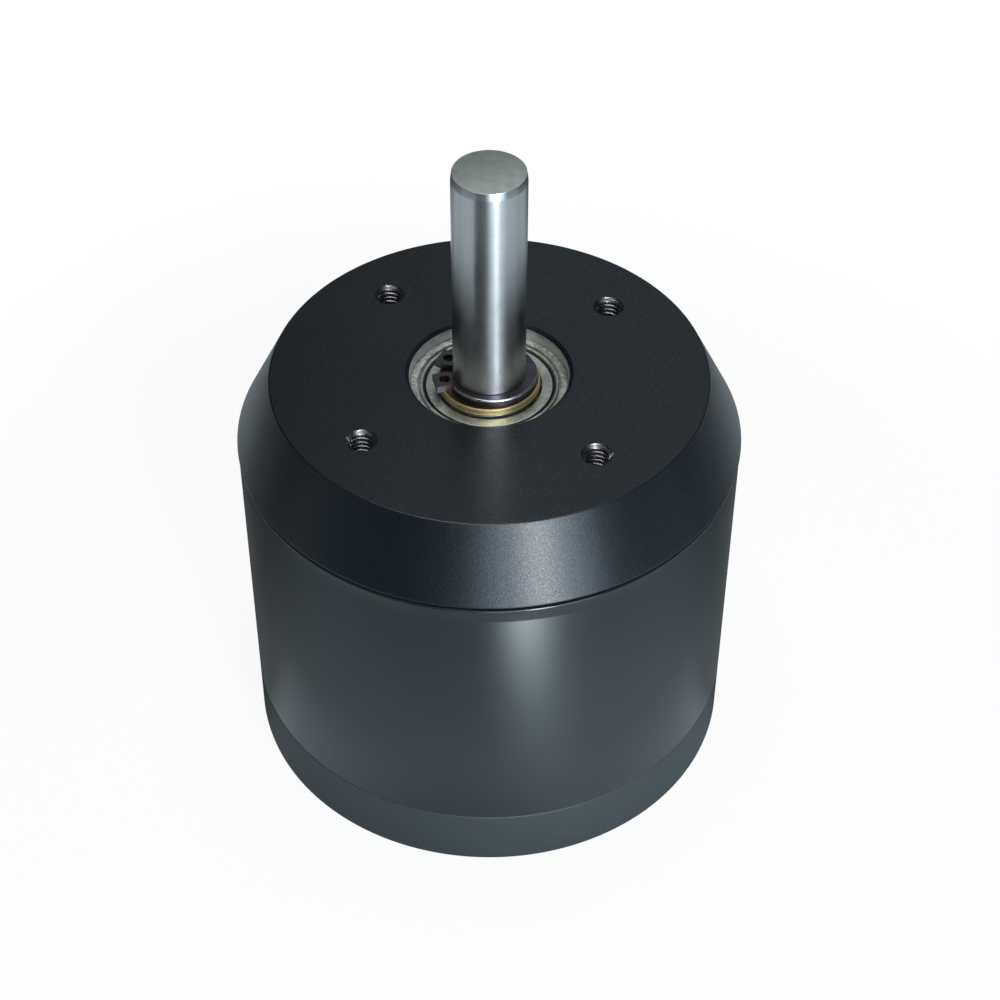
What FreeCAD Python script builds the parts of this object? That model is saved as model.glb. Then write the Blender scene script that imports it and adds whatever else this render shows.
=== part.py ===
import FreeCAD, Part
import math
import os
from FreeCAD import Placement, Rotation, Vector

# Sealed brushless outrunner motor, in millimetres.
# The origin is the centre of the flat rear face and +Z runs up the shaft.
# The front cover stands still with its bearing tube, the wound stator and the outer bearing rings.
# The shaft, the rear bell, the steel can and its magnets turn as one.

# Housing
body_diameter = 70.0
body_height = 62.5
rear_band_height = 9.4
edge_break = 0.2
bottom_round = 0.5

# Front cover, turned in one piece with the bearing tube
cover_height = 10.25
flank_inset = 4.9
rim_overhang = 0.1
rim_land = 0.2
running_gap = 0.6
plate_thickness = 5.0
lip_depth = 2.3
lip_thickness = 2.0
lip_clearance = 0.6
tube_wall = 3.0
tube_bore_clearance = 3.0
collar_step = 1.5
hub_fillet = 1.5
pocket_bevel = 0.35

# Tapped mounting holes, M4 on a circle
mount_circle_diameter = 44.0
mount_hole_count = 4
mount_first_angle = 40.0
mount_tap_drill = 3.3
mount_hole_depth = 7.0
mount_countersink = 0.3
mount_boss_wall = 2.85
mount_boss_floor = 1.5
drill_point_angle = 118.0

# Cable outlet at the back of the cover, with its rubber grommet
outlet_width = 16.0
outlet_height = 6.3
outlet_sill = 0.8
outlet_channel_length = 6.0
grommet_wall = 0.65
grommet_proud = 0.4

# Shaft and what holds it endways
shaft_diameter = 10.0
shaft_reach = 33.0
shaft_lead_depth = 0.25
shaft_lead_length = 1.0
shaft_rear_recess = 0.5
circlip_thickness = 1.0
circlip_groove_depth = 0.2
circlip_groove_play = 0.1
circlip_back_width = 1.8
circlip_end_width = 1.0
circlip_gap_angle = 174.0
circlip_lug_angle = 21.0
circlip_lug_hole_radius = 6.3
circlip_hole_diameter = 1.5
circlip_lug_wall = 0.65
circlip_gap_width = 1.4
shim_count = 2
shim_thickness = 0.5
shim_wall = 1.95
shim_bore_clearance = 0.05
spacer_length = 1.0
spacer_wall = 1.9

# Shielded ball bearings, one at each end of the tube
bearing_outer_diameter = 22.0
bearing_width = 6.0
bearing_recess = 2.0
bearing_corner = 0.4
ball_diameter = 3.175
ball_count = 8
ball_clearance = 0.05
groove_depth = 0.5
shield_seat_step = 0.75
shield_seat_depth = 0.9
shield_rim_gap = 0.25
shield_rim_width = 0.5
shield_rim_top = 0.15
shield_web_recess = 0.35
shield_sheet = 0.3
shield_bore_gap = 0.5
cage_side_gap = 0.35
cage_back = 0.36
cage_finger = 0.9

# Rear bell
bell_floor = 5.0
bell_wall = 3.5
bell_spigot_height = 4.0
bell_hub_diameter = 20.0
bell_hub_height = 4.5
bell_fillet = 2.0

# Can and magnets
can_wall = 2.5
magnet_count = 14
magnet_thickness = 3.0
magnet_overhang = 1.0
magnet_side_gap = 1.2
magnet_end_gap = 0.6

# Stator
air_gap = 0.7
slot_count = 12
back_iron = 4.8
tooth_width = 5.5
slot_opening = 2.2
shoe_edge = 1.0
shoe_depth = 2.2

# End insulators and coils
insulator_thickness = 0.8
insulator_setback = 0.4
insulator_bore_clearance = 0.2
fence_thickness = 0.9
fence_height = 2.6
fence_setback = 1.1
fence_half_angle = 9.0
coil_clearance = 0.3
coil_neighbour_gap = 0.6
coil_end_height = 3.0
coil_round = 1.5

# Position sensor board
board_thickness = 1.0
board_headroom = 6.5
board_height_over_coils = 1.2
board_setback = 0.2
board_bore_clearance = 0.4
post_count = 4
post_diameter = 2.2
pin_diameter = 1.2
pin_hole_clearance = 0.1
pin_proud = 0.3
sensor_count = 3
sensor_width = 4.1
sensor_thickness = 1.5
sensor_height = 3.0
sensor_seat_gap = 0.2
sensor_clearance = 0.2
sensor_lead_width = 2.6
sensor_lead_thickness = 0.4

# Radii that follow
body_radius = body_diameter / 2
rim_radius = body_radius + rim_overhang
face_radius = body_radius - flank_inset
shaft_radius = shaft_diameter / 2
bearing_radius = bearing_outer_diameter / 2
ball_radius = ball_diameter / 2
ball_pitch_radius = (shaft_radius + bearing_radius) / 2
inner_land_radius = ball_pitch_radius - ball_radius + groove_depth
outer_land_radius = ball_pitch_radius + ball_radius - groove_depth
tube_radius = bearing_radius + tube_wall
tube_bore_radius = shaft_radius + tube_bore_clearance
collar_radius = tube_radius + collar_step
can_inner_radius = body_radius - can_wall
lip_radius = can_inner_radius - lip_clearance
cavity_radius = lip_radius - lip_thickness
magnet_inner_radius = can_inner_radius - magnet_thickness
stator_radius = magnet_inner_radius - air_gap
back_iron_radius = tube_radius + back_iron
mount_hole_radius = mount_tap_drill / 2

# Heights that follow
cover_base = body_height - cover_height
cover_ceiling = body_height - plate_thickness
lip_base = cover_base - lip_depth
can_top = cover_base - running_gap
spigot_top = rear_band_height + bell_spigot_height
hub_top = bell_floor + bell_hub_height
rear_bearing_base = hub_top + spacer_length
front_bearing_base = body_height - bearing_recess - bearing_width
shim_base = front_bearing_base + bearing_width
circlip_base = shim_base + shim_count * shim_thickness
shaft_top = body_height + shaft_reach
magnet_base = spigot_top + magnet_end_gap
board_base = cover_ceiling - board_headroom - board_thickness
coil_top = board_base - board_height_over_coils
stack_top = coil_top - coil_end_height - insulator_thickness
stack_base = magnet_base + magnet_overhang
stack_length = stack_top - stack_base
magnet_length = stack_length + 2 * magnet_overhang
coil_base = stack_base - insulator_thickness - coil_end_height
outlet_base = cover_base + outlet_sill

# Angles that follow
slot_pitch = 360.0 / slot_count
magnet_pitch = 360.0 / magnet_count
shoe_half_angle = slot_pitch / 2 - math.degrees(slot_opening / 2 / stator_radius)

UP = Vector(0, 0, 1)
CENTRE = Vector(0, 0, 0)


def polar(radius, angle, height=0.0):
    turn = math.radians(angle)
    return Vector(radius * math.cos(turn), radius * math.sin(turn), height)


def turned(outline):
    """A turned piece from its half section, given as (radius, height) corners."""
    corners = [Vector(radius, 0, height) for radius, height in outline]
    section = Part.Face(Part.makePolygon(corners + corners[:1]))
    return section.revolve(CENTRE, UP, 360)


def ring(inner, outer, base, height):
    return turned([(inner, base), (outer, base), (outer, base + height), (inner, base + height)])


def rotated(shape, angle):
    copy = shape.copy()
    copy.rotate(CENTRE, UP, angle)
    return copy


def around(shape, count, first=0.0):
    return [rotated(shape, first + index * 360.0 / count) for index in range(count)]


def fused(pieces):
    return pieces[0].multiFuse(pieces[1:]).removeSplitter()


def circle_edges(shape, radius, height):
    """The round edges of that radius at that height, about the motor's axis."""
    found = []
    for edge in shape.Edges:
        curve = edge.Curve
        if isinstance(curve, Part.Circle) and curve.Center.isEqual(Vector(0, 0, height), 1e-4):
            if abs(curve.Radius - radius) < 1e-4:
                found.append(edge)
    return found


def save(name, solids):
    shape = solids[0] if len(solids) == 1 else Part.makeCompound(solids)
    shape.exportStep("parts/" + name + ".step")


# Front cover

def flank_radius(height):
    """Radius of the cover's conical flank at a height."""
    slope = (rim_radius - face_radius) / (cover_height - rim_land)
    return face_radius + (body_height - height) * slope


def cover_blank():
    flank_top = body_height - edge_break
    return turned([
        (bearing_radius + pocket_bevel, body_height),
        (face_radius - edge_break, body_height),
        (flank_radius(flank_top), flank_top),
        (rim_radius, cover_base + rim_land),
        (rim_radius, cover_base),
        (lip_radius, cover_base),
        (lip_radius, lip_base),
        (cavity_radius, lip_base),
        (cavity_radius, cover_ceiling),
        (collar_radius, cover_ceiling),
        (collar_radius, stack_top),
        (tube_radius, stack_top),
        (tube_radius, rear_bearing_base),
        (bearing_radius, rear_bearing_base),
        (bearing_radius, rear_bearing_base + bearing_width),
        (tube_bore_radius, rear_bearing_base + bearing_width),
        (tube_bore_radius, front_bearing_base),
        (bearing_radius, front_bearing_base),
        (bearing_radius, body_height - pocket_bevel),
    ])


def mount_boss():
    boss_base = body_height - mount_hole_depth - drill_point_depth() - mount_boss_floor
    place = polar(mount_circle_diameter / 2, 0, boss_base)
    height = cover_ceiling - boss_base
    return Part.makeCylinder(mount_hole_radius + mount_boss_wall, height, place)


def drill_point_depth():
    return mount_hole_radius / math.tan(math.radians(drill_point_angle / 2))


def mount_hole():
    """Tap drill with its pointed end, and the countersink at the mouth."""
    floor = body_height - mount_hole_depth
    place = polar(mount_circle_diameter / 2, 0)
    hole = turned([
        (0, floor - drill_point_depth()),
        (mount_hole_radius, floor),
        (mount_hole_radius, body_height - mount_countersink),
        (mount_hole_radius + mount_countersink, body_height),
        (0, body_height),
    ])
    return hole.translated(place)


def slot_prism(width, height, base, near, far):
    """A bar with round sides, lying along Y over x = 0."""
    half_straight = (width - height) / 2
    radius = height / 2
    middle = base + radius
    low_left = Vector(-half_straight, near, base)
    low_right = Vector(half_straight, near, base)
    high_left = Vector(-half_straight, near, base + height)
    high_right = Vector(half_straight, near, base + height)
    right_end = Part.Arc(low_right, Vector(half_straight + radius, near, middle), high_right)
    left_end = Part.Arc(high_left, Vector(-half_straight - radius, near, middle), low_left)
    outline = Part.Wire([
        Part.makeLine(low_left, low_right),
        right_end.toShape(),
        Part.makeLine(high_right, high_left),
        left_end.toShape(),
    ])
    return Part.Face(outline).extrude(Vector(0, far - near, 0))


def outlet_channel():
    near = cavity_radius - outlet_channel_length
    return slot_prism(outlet_width, outlet_height, outlet_base, near, rim_radius + 1)


def front_cover():
    cover = cover_blank()
    cover = cover.makeFillet(hub_fillet, circle_edges(cover, collar_radius, cover_ceiling))
    cover = fused([cover] + around(mount_boss(), mount_hole_count, mount_first_angle))
    cover = cover.cut(Part.makeCompound(around(mount_hole(), mount_hole_count, mount_first_angle)))
    return cover.cut(outlet_channel())


def cable_grommet():
    """Rubber sleeve that lines the outlet and stands a little proud of the flank."""
    top = outlet_base + outlet_height
    sleeve_zone = turned([
        (cavity_radius, outlet_base - 1),
        (rim_radius, outlet_base - 1),
        (rim_radius, outlet_base + grommet_wall),
        (flank_radius(top + 1) + grommet_proud, top + 1),
        (cavity_radius, top + 1),
    ])
    outside = slot_prism(outlet_width, outlet_height, outlet_base, 0, rim_radius + 1)
    inside_width = outlet_width - 2 * grommet_wall
    inside_height = outlet_height - 2 * grommet_wall
    inside = slot_prism(inside_width, inside_height, outlet_base + grommet_wall, 0, rim_radius + 1)
    return outside.common(sleeve_zone).cut(inside)


# Bearings

def ball_track(base):
    place = Vector(0, 0, base + bearing_width / 2)
    return Part.makeTorus(ball_pitch_radius, ball_radius + ball_clearance, place)


def outer_ring(base):
    top = base + bearing_width
    seat_radius = outer_land_radius + shield_seat_step
    blank = turned([
        (seat_radius, base),
        (bearing_radius - bearing_corner, base),
        (bearing_radius, base + bearing_corner),
        (bearing_radius, top - bearing_corner),
        (bearing_radius - bearing_corner, top),
        (seat_radius, top),
        (seat_radius, top - shield_seat_depth),
        (outer_land_radius, top - shield_seat_depth),
        (outer_land_radius, base + shield_seat_depth),
        (seat_radius, base + shield_seat_depth),
    ])
    return blank.cut(ball_track(base))


def inner_ring(base):
    blank = ring(shaft_radius, inner_land_radius, base, bearing_width)
    return blank.cut(ball_track(base))


def shield():
    """Pressed cover with its rolled rim, lying on its seat with the open side down, face at z = 0."""
    rim_outer = outer_land_radius + shield_seat_step - shield_rim_gap
    rim_inner = rim_outer - shield_rim_width
    web_base = -shield_web_recess - shield_sheet
    return turned([
        (rim_outer, -shield_seat_depth),
        (rim_outer, -shield_rim_top),
        (rim_inner, -shield_rim_top),
        (rim_inner - shield_sheet, -shield_web_recess),
        (inner_land_radius + shield_bore_gap, -shield_web_recess),
        (inner_land_radius + shield_bore_gap, web_base),
        (rim_outer - shield_sheet, web_base),
        (rim_outer - shield_sheet, -shield_seat_depth),
    ])


def upper_shield(base):
    return shield().translated(Vector(0, 0, base + bearing_width))


def lower_shield(base):
    turned_over = shield()
    turned_over.rotate(CENTRE, Vector(1, 0, 0), 180)
    return turned_over.translated(Vector(0, 0, base))


def balls(base):
    place = polar(ball_pitch_radius, 0, base + bearing_width / 2)
    return around(Part.makeSphere(ball_radius, place), ball_count)


def ball_cage(base):
    """Crown cage: a closed ring over the balls, with fingers that reach down between them."""
    middle = base + bearing_width / 2
    pocket_radius = ball_radius + ball_clearance
    inner = inner_land_radius + cage_side_gap
    outer = outer_land_radius - cage_side_gap
    blank = ring(inner, outer, middle - cage_finger, cage_finger + pocket_radius + cage_back)
    pocket = Part.makeCylinder(pocket_radius, bearing_radius, Vector(0, 0, middle), Vector(1, 0, 0))
    return blank.cut(Part.makeCompound(around(pocket, ball_count)))


# Shaft, circlip and washers

def shaft():
    lead_base = shaft_top - shaft_lead_length
    groove_radius = shaft_radius - circlip_groove_depth
    groove_top = circlip_base + circlip_thickness + circlip_groove_play
    return turned([
        (0, shaft_rear_recess),
        (shaft_radius - edge_break, shaft_rear_recess),
        (shaft_radius, shaft_rear_recess + edge_break),
        (shaft_radius, circlip_base),
        (groove_radius, circlip_base),
        (groove_radius, groove_top),
        (shaft_radius, groove_top),
        (shaft_radius, lead_base),
        (shaft_radius - shaft_lead_depth, shaft_top),
        (0, shaft_top),
    ])


def shaft_circlip():
    """Ring that is widest opposite its gap, with two eared ends for the pliers."""
    bore = shaft_radius - circlip_groove_depth
    offset = (circlip_back_width - circlip_end_width) / 2
    outer = bore + (circlip_back_width + circlip_end_width) / 2
    lug_half_width = circlip_hole_diameter / 2 + circlip_lug_wall
    reach = circlip_lug_hole_radius + lug_half_width
    body = Part.makeCylinder(outer, circlip_thickness, Vector(-offset, 0, 0))
    pieces = [body]
    holes = []
    lug_corner = Vector(0, -lug_half_width, 0)
    for side in (-circlip_lug_angle, circlip_lug_angle):
        lug = Part.makeBox(reach, 2 * lug_half_width, circlip_thickness, lug_corner)
        hole_place = polar(circlip_lug_hole_radius, side)
        pieces.append(rotated(lug, side))
        holes.append(Part.makeCylinder(circlip_hole_diameter / 2, circlip_thickness, hole_place))
    holes.append(Part.makeCylinder(bore, circlip_thickness))
    gap_corner = Vector(0, -circlip_gap_width / 2, 0)
    holes.append(Part.makeBox(2 * reach, circlip_gap_width, circlip_thickness, gap_corner))
    clip = fused(pieces).cut(Part.makeCompound(holes))
    clip = rotated(clip, circlip_gap_angle)
    return clip.translated(Vector(0, 0, circlip_base))


def shim(index):
    bore = shaft_radius + shim_bore_clearance
    return ring(bore, bore + shim_wall, shim_base + index * shim_thickness, shim_thickness)


def rear_spacer():
    return ring(shaft_radius, shaft_radius + spacer_wall, hub_top, spacer_length)


# Rear bell, can and magnets

def rear_bell():
    pocket_radius = can_inner_radius - bell_wall
    hub_radius = bell_hub_diameter / 2
    bell = turned([
        (shaft_radius, 0),
        (body_radius, 0),
        (body_radius, rear_band_height - edge_break),
        (body_radius - edge_break, rear_band_height),
        (can_inner_radius, rear_band_height),
        (can_inner_radius, spigot_top),
        (pocket_radius, spigot_top),
        (pocket_radius, bell_floor),
        (hub_radius, bell_floor),
        (hub_radius, hub_top),
        (shaft_radius, hub_top),
    ])
    bell = bell.makeFillet(bottom_round, circle_edges(bell, body_radius, 0))
    inside = circle_edges(bell, pocket_radius, bell_floor) + circle_edges(bell, hub_radius, bell_floor)
    return bell.makeFillet(bell_fillet, inside)


def rotor_can():
    return turned([
        (can_inner_radius, rear_band_height),
        (body_radius - edge_break, rear_band_height),
        (body_radius, rear_band_height + edge_break),
        (body_radius, can_top - edge_break),
        (body_radius - edge_break, can_top),
        (can_inner_radius, can_top),
    ])


def arc_block(inner, outer, half_angle, base, height):
    """A curved block about the X axis, between two radii."""
    outline = Part.Wire([
        Part.Arc(polar(outer, -half_angle), polar(outer, 0), polar(outer, half_angle)).toShape(),
        Part.makeLine(polar(outer, half_angle), polar(inner, half_angle)),
        Part.Arc(polar(inner, half_angle), polar(inner, 0), polar(inner, -half_angle)).toShape(),
        Part.makeLine(polar(inner, -half_angle), polar(outer, -half_angle)),
    ])
    block = Part.Face(outline).extrude(Vector(0, 0, height))
    return block.translated(Vector(0, 0, base))


def magnet():
    half_angle = magnet_pitch / 2 - math.degrees(magnet_side_gap / 2 / can_inner_radius)
    return arc_block(magnet_inner_radius, can_inner_radius, half_angle, magnet_base, magnet_length)


# Stator

def tooth(root, width, tip, half_angle, base, height):
    """One tooth along X with its flared shoe, whose face is an arc about the motor's axis."""
    half = width / 2
    neck = tip - shoe_depth
    shoe = tip - shoe_edge
    outline = Part.Wire([
        Part.makeLine(Vector(root, half, 0), Vector(root, -half, 0)),
        Part.makeLine(Vector(root, -half, 0), Vector(neck, -half, 0)),
        Part.makeLine(Vector(neck, -half, 0), polar(shoe, -half_angle)),
        Part.makeLine(polar(shoe, -half_angle), polar(tip, -half_angle)),
        Part.Arc(polar(tip, -half_angle), polar(tip, 0), polar(tip, half_angle)).toShape(),
        Part.makeLine(polar(tip, half_angle), polar(shoe, half_angle)),
        Part.makeLine(polar(shoe, half_angle), Vector(neck, half, 0)),
        Part.makeLine(Vector(neck, half, 0), Vector(root, half, 0)),
    ])
    solid = Part.Face(outline).extrude(Vector(0, 0, height))
    return solid.translated(Vector(0, 0, base))


def stator_core():
    yoke = ring(tube_radius, back_iron_radius, stack_base, stack_length)
    root = back_iron_radius - back_iron / 2
    teeth = tooth(root, tooth_width, stator_radius, shoe_half_angle, stack_base, stack_length)
    return fused([yoke] + around(teeth, slot_count))


def end_insulator(bore, base, fence_base):
    """Plate of the core's outline with a fence at each tooth tip that holds the coil in."""
    plate = ring(bore, back_iron_radius, base, insulator_thickness)
    root = back_iron_radius - back_iron / 4
    tip = stator_radius - insulator_setback
    arm = tooth(root, tooth_width, tip, shoe_half_angle, base, insulator_thickness)
    fence_radius = stator_radius - fence_setback
    fence = arc_block(fence_radius - fence_thickness, fence_radius, fence_half_angle, fence_base, fence_height)
    return fused([plate] + around(arm, slot_count) + around(fence, slot_count))


def rear_insulator():
    base = stack_base - insulator_thickness
    return end_insulator(tube_radius + insulator_bore_clearance, base, base - fence_height)


def post_radius():
    return (collar_radius + insulator_bore_clearance + back_iron_radius) / 2


def front_insulator():
    """Like the rear one, with posts that carry the sensor board on their pins."""
    bore = collar_radius + insulator_bore_clearance
    plate_top = stack_top + insulator_thickness
    plate = end_insulator(bore, stack_top, plate_top)
    place = polar(post_radius(), 0, plate_top)
    post = Part.makeCylinder(post_diameter / 2, board_base - plate_top, place)
    pin_length = board_base - plate_top + board_thickness + pin_proud
    pin = Part.makeCylinder(pin_diameter / 2, pin_length, place)
    posts = around(post, post_count, slot_pitch / 2) + around(pin, post_count, slot_pitch / 2)
    return fused([plate] + posts)


def coil_near():
    return back_iron_radius + coil_clearance


def coil_far():
    """Distance of the coil's outer side, which clears the ends of the curved fence."""
    fence_inner = stator_radius - fence_setback - fence_thickness
    return fence_inner * math.cos(math.radians(fence_half_angle)) - coil_clearance


def coil_half_width(distance):
    """Half the coil's width at a distance along the tooth, parallel to the middle of the slot."""
    half_pitch = math.radians(slot_pitch / 2)
    return distance * math.tan(half_pitch) - coil_neighbour_gap / 2 / math.cos(half_pitch)


def coil():
    """Winding round one tooth, thicker outwards where the slot is wider, with rounded end turns."""
    near = coil_near()
    far = coil_far()
    near_half = coil_half_width(near)
    far_half = coil_half_width(far)
    corners = [
        Vector(near, -near_half, coil_base),
        Vector(far, -far_half, coil_base),
        Vector(far, far_half, coil_base),
        Vector(near, near_half, coil_base),
    ]
    block = Part.Face(Part.makePolygon(corners + corners[:1])).extrude(Vector(0, 0, coil_top - coil_base))
    long_edges = []
    for edge in block.Edges:
        start = edge.Vertexes[0].Point
        end = edge.Vertexes[1].Point
        if abs(start.z - end.z) < 1e-6 and abs(start.x - end.x) > (far - near) / 2:
            long_edges.append(edge)
    block = block.makeFillet(coil_round, long_edges)
    window_half = tooth_width / 2 + coil_clearance
    window_base = stack_base - insulator_thickness
    window_height = stack_length + 2 * insulator_thickness
    corner = Vector(near - 1, -window_half, window_base)
    return block.cut(Part.makeBox(far - near + 2, 2 * window_half, window_height, corner))


# Position sensors

def sensor_board():
    bore = collar_radius + board_bore_clearance
    board = ring(bore, stator_radius - board_setback, board_base, board_thickness)
    hole_radius = (pin_diameter + pin_hole_clearance) / 2
    hole = Part.makeCylinder(hole_radius, board_thickness, polar(post_radius(), 0, board_base))
    return board.cut(Part.makeCompound(around(hole, post_count, slot_pitch / 2)))


def hall_sensor():
    """Sensor that hangs on its flat leads under the board's edge, over a slot."""
    base = stack_top + insulator_thickness + sensor_seat_gap
    near = math.hypot(coil_far(), coil_half_width(coil_far())) + sensor_clearance
    far = near + sensor_thickness
    body = Part.makeBox(sensor_thickness, sensor_width, sensor_height, Vector(near, -sensor_width / 2, base))
    lead_near = (near + far - sensor_lead_thickness) / 2
    lead_corner = Vector(lead_near, -sensor_lead_width / 2, base + sensor_height)
    lead_height = board_base - base - sensor_height
    lead = Part.makeBox(sensor_lead_thickness, sensor_lead_width, lead_height, lead_corner)
    return body.fuse(lead)


def save_bearing(name, base):
    save(name + "_outer_ring", [outer_ring(base)])
    save(name + "_inner_ring", [inner_ring(base)])
    save(name + "_upper_shield", [upper_shield(base)])
    save(name + "_lower_shield", [lower_shield(base)])
    save(name + "_balls", balls(base))
    save(name + "_cage", [ball_cage(base)])


os.makedirs("parts", exist_ok=True)
save("front_cover", [front_cover()])
save("cable_grommet", [cable_grommet()])
save_bearing("front_bearing", front_bearing_base)
save_bearing("rear_bearing", rear_bearing_base)
save("shaft", [shaft()])
save("shaft_circlip", [shaft_circlip()])
for number in range(shim_count):
    save("shim_washer_%d" % (number + 1), [shim(number)])
save("rear_spacer", [rear_spacer()])
save("rear_bell", [rear_bell()])
save("rotor_can", [rotor_can()])
for number, piece in enumerate(around(magnet(), magnet_count), 1):
    save("magnet_%02d" % number, [piece])
save("stator_core", [stator_core()])
save("front_insulator", [front_insulator()])
save("rear_insulator", [rear_insulator()])
for number, piece in enumerate(around(coil(), slot_count), 1):
    save("coil_%02d" % number, [piece])
save("sensor_board", [sensor_board()])
save("hall_sensors", around(hall_sensor(), sensor_count, slot_pitch / 2))
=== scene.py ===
import math

import bpy
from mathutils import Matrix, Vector


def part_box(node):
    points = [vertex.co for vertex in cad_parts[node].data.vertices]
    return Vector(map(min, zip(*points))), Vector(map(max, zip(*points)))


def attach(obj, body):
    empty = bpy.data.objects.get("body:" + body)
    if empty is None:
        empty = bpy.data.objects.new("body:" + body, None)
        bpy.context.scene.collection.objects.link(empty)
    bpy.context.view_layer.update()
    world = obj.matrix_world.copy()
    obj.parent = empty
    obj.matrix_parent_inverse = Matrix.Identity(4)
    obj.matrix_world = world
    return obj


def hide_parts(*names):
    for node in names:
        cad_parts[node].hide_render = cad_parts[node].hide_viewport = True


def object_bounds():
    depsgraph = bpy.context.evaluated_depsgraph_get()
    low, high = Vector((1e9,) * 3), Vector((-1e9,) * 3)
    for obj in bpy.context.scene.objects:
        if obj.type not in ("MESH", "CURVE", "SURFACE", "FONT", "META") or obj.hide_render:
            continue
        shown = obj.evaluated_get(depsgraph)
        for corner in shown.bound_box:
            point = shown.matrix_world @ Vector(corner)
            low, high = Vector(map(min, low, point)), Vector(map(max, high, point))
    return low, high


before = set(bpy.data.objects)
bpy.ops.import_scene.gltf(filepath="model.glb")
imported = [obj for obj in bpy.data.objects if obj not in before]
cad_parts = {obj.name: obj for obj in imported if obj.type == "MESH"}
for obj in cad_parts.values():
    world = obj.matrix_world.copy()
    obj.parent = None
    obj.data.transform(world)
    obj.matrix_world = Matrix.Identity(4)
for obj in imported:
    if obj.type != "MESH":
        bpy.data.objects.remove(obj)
cad_low, cad_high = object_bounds()

# Rear bell.
# The real piece is an aluminium disc with a short wall, turned from bar and painted slate grey.
# The can is pressed over its spigot, which leaves the lower seam, and its hub is pressed on the shaft.

mm = 0.001
band_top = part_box("rotor_can")[0].z
body_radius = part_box("rear_bell")[1].x
can_inner_radius = body_radius - 2.5 * mm
shaft_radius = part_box("shaft")[1].x
turning_steps = 288
natural_base = 2.718


class Wire:
    """One output of a finish's nodes. Sums and products of wires add their own Math nodes."""

    def __init__(self, finish, socket):
        self.finish = finish
        self.socket = socket

    def maths(self, operation, first, second=0.0):
        return self.finish.node("ShaderNodeMath", {"operation": operation}, {0: first, 1: second})

    def __add__(self, other):
        return self.maths("ADD", self, other)

    def __sub__(self, other):
        return self.maths("SUBTRACT", self, other)

    def __rsub__(self, other):
        return self.maths("SUBTRACT", other, self)

    def __mul__(self, other):
        return self.maths("MULTIPLY", self, other)

    def __truediv__(self, other):
        return self.maths("DIVIDE", self, other)

    def __pow__(self, other):
        return self.maths("POWER", self, other)

    def __rpow__(self, other):
        return self.maths("POWER", other, self)

    def hump(self, width):
        """A bell curve: 1 where the wire is 0, and about 0.6 that width away from it."""
        return natural_base ** (self * self * (-0.5 / width ** 2))

    def __lt__(self, other):
        return self.maths("LESS_THAN", self, other)

    def __gt__(self, other):
        return self.maths("GREATER_THAN", self, other)

    __radd__ = __add__
    __rmul__ = __mul__


class Finish:
    """A surface finish built from nodes on the piece's own coordinates, in metres."""

    def __init__(self, name, constants):
        self.material = bpy.data.materials.new(name)
        self.material.use_nodes = True
        self.tree = self.material.node_tree
        self.surface = self.tree.nodes["Principled BSDF"]
        for label, value in constants.items():
            self.surface.inputs[label].default_value = value
        self.place = self.node("ShaderNodeTexCoord", {}, {}, "Object")
        self.x, self.y, self.z = [
            self.node("ShaderNodeSeparateXYZ", {}, {"Vector": self.place}, axis) for axis in "XYZ"
        ]
        self.radius = (self.x * self.x + self.y * self.y) ** 0.5

    def node(self, kind, settings, sockets, output=0):
        made = self.tree.nodes.new(kind)
        for name, value in settings.items():
            setattr(made, name, value)
        for label, value in sockets.items():
            if isinstance(value, Wire):
                self.tree.links.new(value.socket, made.inputs[label])
            else:
                made.inputs[label].default_value = value
        return Wire(self, made.outputs[output])

    def noise(self, size, detail=2.0, place=None):
        """Noise from 0 to 1 whose lumps are about that size."""
        sockets = {"Vector": place or self.place, "Scale": 1 / size, "Detail": detail}
        return self.node("ShaderNodeTexNoise", {}, sockets)

    def lines(self, along, size, detail=2.0):
        """Noise that changes only along one value, such as the marks a tool leaves on a turned face."""
        sockets = {"W": along, "Scale": 1 / size, "Detail": detail}
        return self.node("ShaderNodeTexNoise", {"noise_dimensions": "1D"}, sockets)

    def between(self, mask, low, high):
        """Mixed colour: low where the mask is 0 and high where it is 1."""
        settings = {"data_type": "RGBA", "clamp_factor": True}
        return self.node("ShaderNodeMix", settings, {0: mask, 6: (*low, 1), 7: (*high, 1)}, 2)

    def over(self, mask, below, colour):
        """A plain colour laid over a coloured wire where the mask is 1."""
        sockets = {0: mask, 6: below, 7: (*colour, 1)}
        return self.node("ShaderNodeMix", {"data_type": "RGBA"}, sockets, 2)

    def fraction(self, value):
        """What is left of the value above its whole number."""
        return self.node("ShaderNodeMath", {"operation": "FRACT"}, {0: value})

    def ramp(self, value, low, high):
        """0 below low, 1 above high, and smooth in between."""
        settings = {"interpolation_type": "SMOOTHSTEP"}
        sockets = {"Value": value, "From Min": low, "From Max": high}
        return self.node("ShaderNodeMapRange", settings, sockets)

    def band(self, value, low, full, fading, high):
        """1 from full to fading, and 0 below low and above high."""
        return self.ramp(value, low, full) * (1 - self.ramp(value, fading, high))

    def feed(self, label, wire):
        self.tree.links.new(wire.socket, self.surface.inputs[label])

    def relief(self, height, depth):
        """Bump whose height, from 0 to 1, stands for that depth."""
        self.feed("Normal", self.node("ShaderNodeBump", {}, {"Height": height, "Distance": depth}))


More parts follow.
